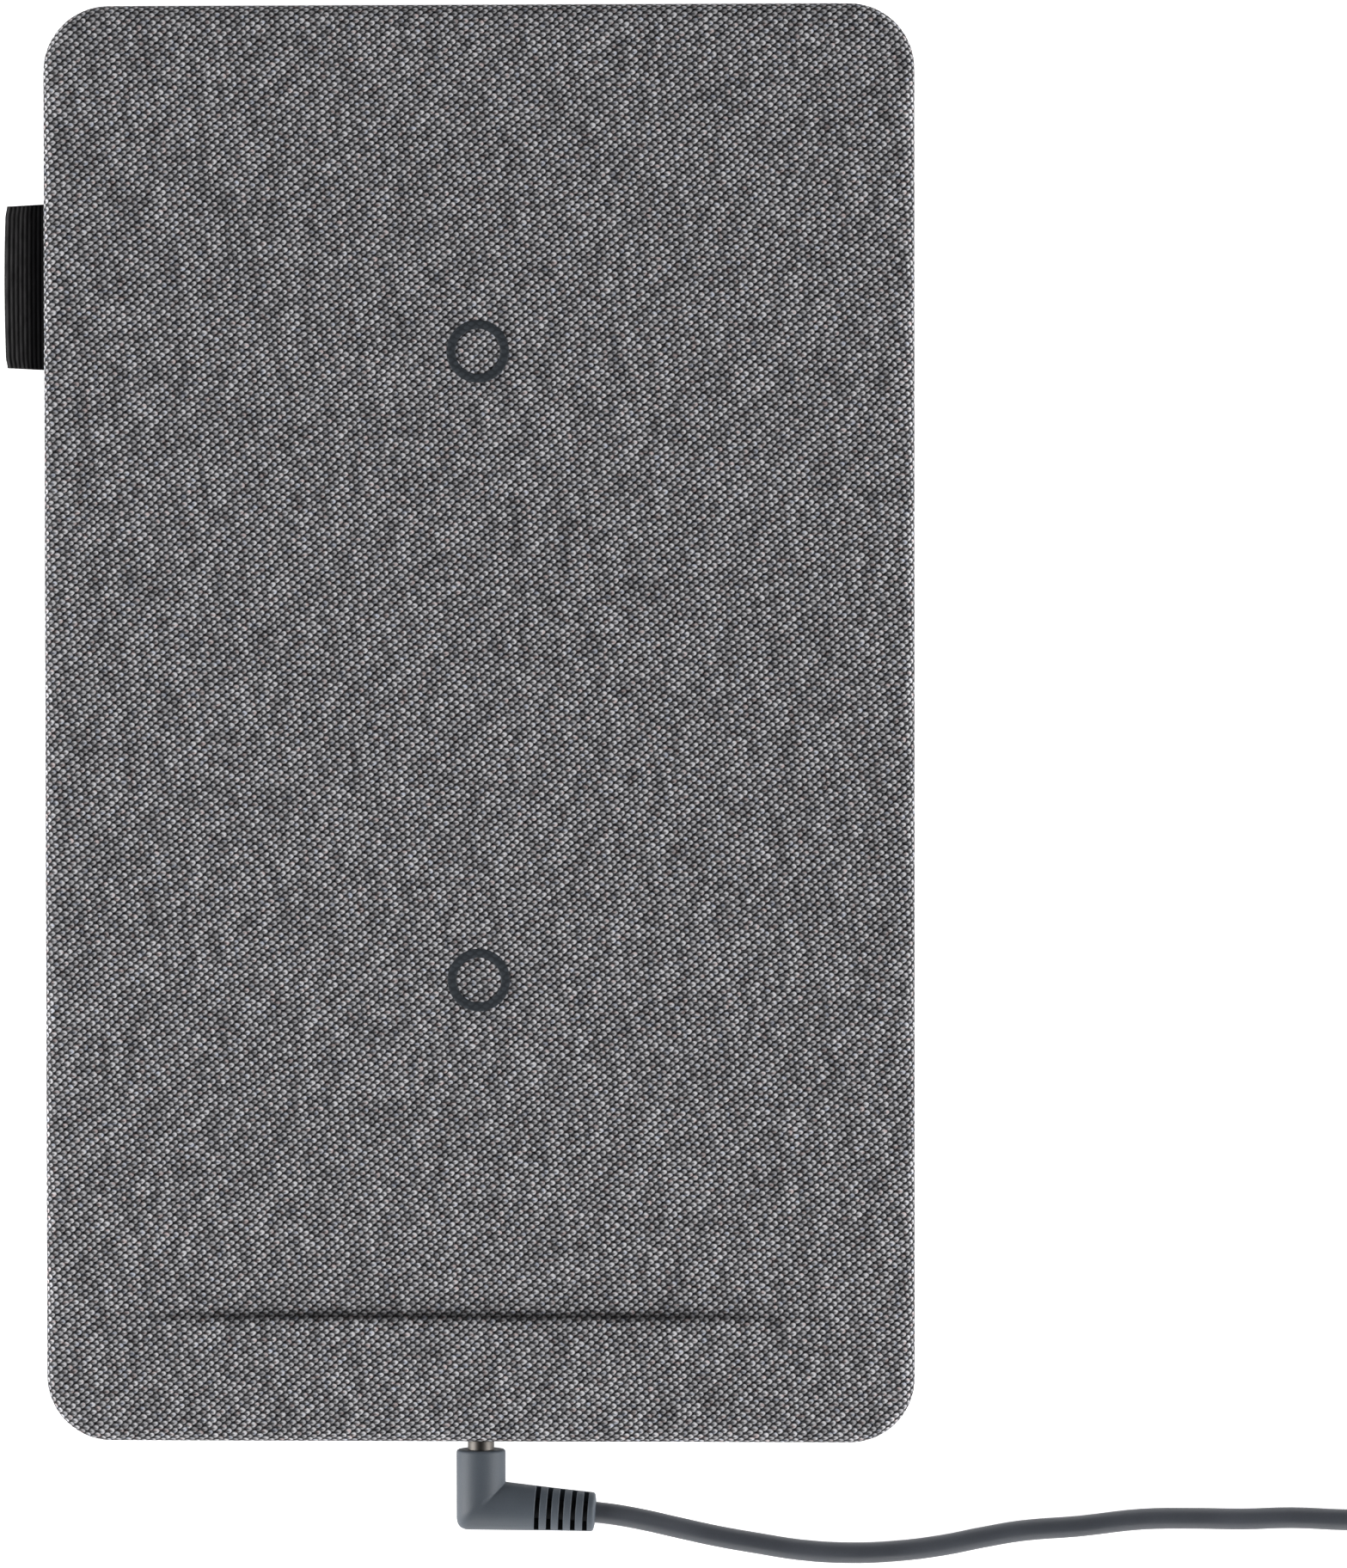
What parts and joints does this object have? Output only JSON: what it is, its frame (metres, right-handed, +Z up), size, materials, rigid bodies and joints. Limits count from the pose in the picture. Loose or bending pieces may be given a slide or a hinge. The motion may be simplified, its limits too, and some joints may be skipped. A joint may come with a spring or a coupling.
{
  "type": "wireless charging pad",
  "caption": "Fabric-covered wireless charging pad with front and rear charging spots, a power strip it folds up from, and a pull-out right-angle DC lead with wall adapter.",
  "frame": {"origin": "centre of the pad's underside, on the surface it rests on", "axes": "+X to the right seen from above with the plug edge nearest, +Y from the plug edge to the far edge, +Z up through the charging face"},
  "size_m": [0.3735, 0.3228, 0.027],
  "materials": {
    "cover_fabric": "two-tone grey basket weave",
    "ribbon_black": "ribbed grosgrain ribbon",
    "marker_slate": "matt slate ring pressed into the fabric",
    "base_rubber": "matt non-slip silicone sheet",
    "shell_plastic": "fine moulded texture",
    "foam": "closed-cell foam sheet",
    "screw_steel": "zinc plated",
    "circuit_board": "green solder mask",
    "chip_black": "moulded epoxy",
    "inductor_grey": "shielded ferrite body",
    "capacitor_film": "ceramic and film parts",
    "connector_white": "natural nylon",
    "flex_amber": "polyimide flat cable",
    "jack_black": "glass-filled nylon",
    "contact_brass": "nickel-plated brass",
    "sleeve_nickel": "nickel plated, lightly rubbed",
    "insulator_black": "moulded tip",
    "lead_slate": "fine matt flexible vinyl",
    "tie_black": "hook-and-loop strap",
    "adapter_black": "fine spark-eroded texture",
    "blade_brass": "nickel-plated brass blade",
    "transformer_tape": "wound tape",
    "capacitor_sleeve": "shrink sleeve",
    "frame_grey": "moulded seat",
    "ferrite": "sintered ferrite sheet",
    "litz_copper": "enamelled copper litz",
    "thermistor_blue": "coated bead"
  },
  "bodies": {
    "power_strip": {"strip_tray": "shell_plastic", "strip_plate": "shell_plastic", "strip_foam": "foam", "strip_cover": "cover_fabric", "strip_base_mat": "base_rubber", "strip_screws": "screw_steel", "main_board": "circuit_board", "control_chip": "chip_black", "driver_chips": "chip_black", "power_inductors": "inductor_grey", "resonance_capacitors": "capacitor_film", "board_connector": "connector_white", "strip_flex": "flex_amber", "jack_housing": "jack_black", "jack_center_pin": "contact_brass", "jack_spring_contact": "contact_brass"},
    "charging_panel": {"panel_tray": "shell_plastic", "panel_plate": "shell_plastic", "panel_foam": "foam", "panel_cover": "cover_fabric", "panel_base_mat": "base_rubber", "panel_screws": "screw_steel", "panel_connector": "connector_white", "panel_flex": "flex_amber", "ribbon_label": "ribbon_black", "front_coil_frame": "frame_grey", "front_ferrite": "ferrite", "front_coil": "litz_copper", "front_thermistor": "thermistor_blue", "front_coil_leads": "litz_copper", "front_marker": "marker_slate", "rear_coil_frame": "frame_grey", "rear_ferrite": "ferrite", "rear_coil": "litz_copper", "rear_thermistor": "thermistor_blue", "rear_coil_leads": "litz_copper", "rear_marker": "marker_slate"},
    "cord_set": {"plug_sleeve": "sleeve_nickel", "plug_insulator": "insulator_black", "plug_contact": "contact_brass", "plug_overmold": "lead_slate", "cord_run": "lead_slate", "cord_coil": "lead_slate", "cord_tail": "lead_slate", "cord_tie": "tie_black", "adapter_strain_relief": "adapter_black", "adapter_case_rear": "adapter_black", "adapter_case_front": "adapter_black", "adapter_blades": "blade_brass", "adapter_board": "circuit_board", "adapter_transformer": "transformer_tape", "adapter_capacitor": "capacitor_sleeve"}
  },
  "joints": [
    {"name": "panel_fold", "type": "hinge", "parent": "power_strip", "child": "charging_panel", "pos_m": [0, -0.1225, 0.0095], "axis": [1, 0, 0], "range_deg": [0, 75]},
    {"name": "plug_pull", "type": "slide", "parent": "power_strip", "child": "cord_set", "axis": [0, -1, 0], "range_m": [0, 0.012]}
  ]
}
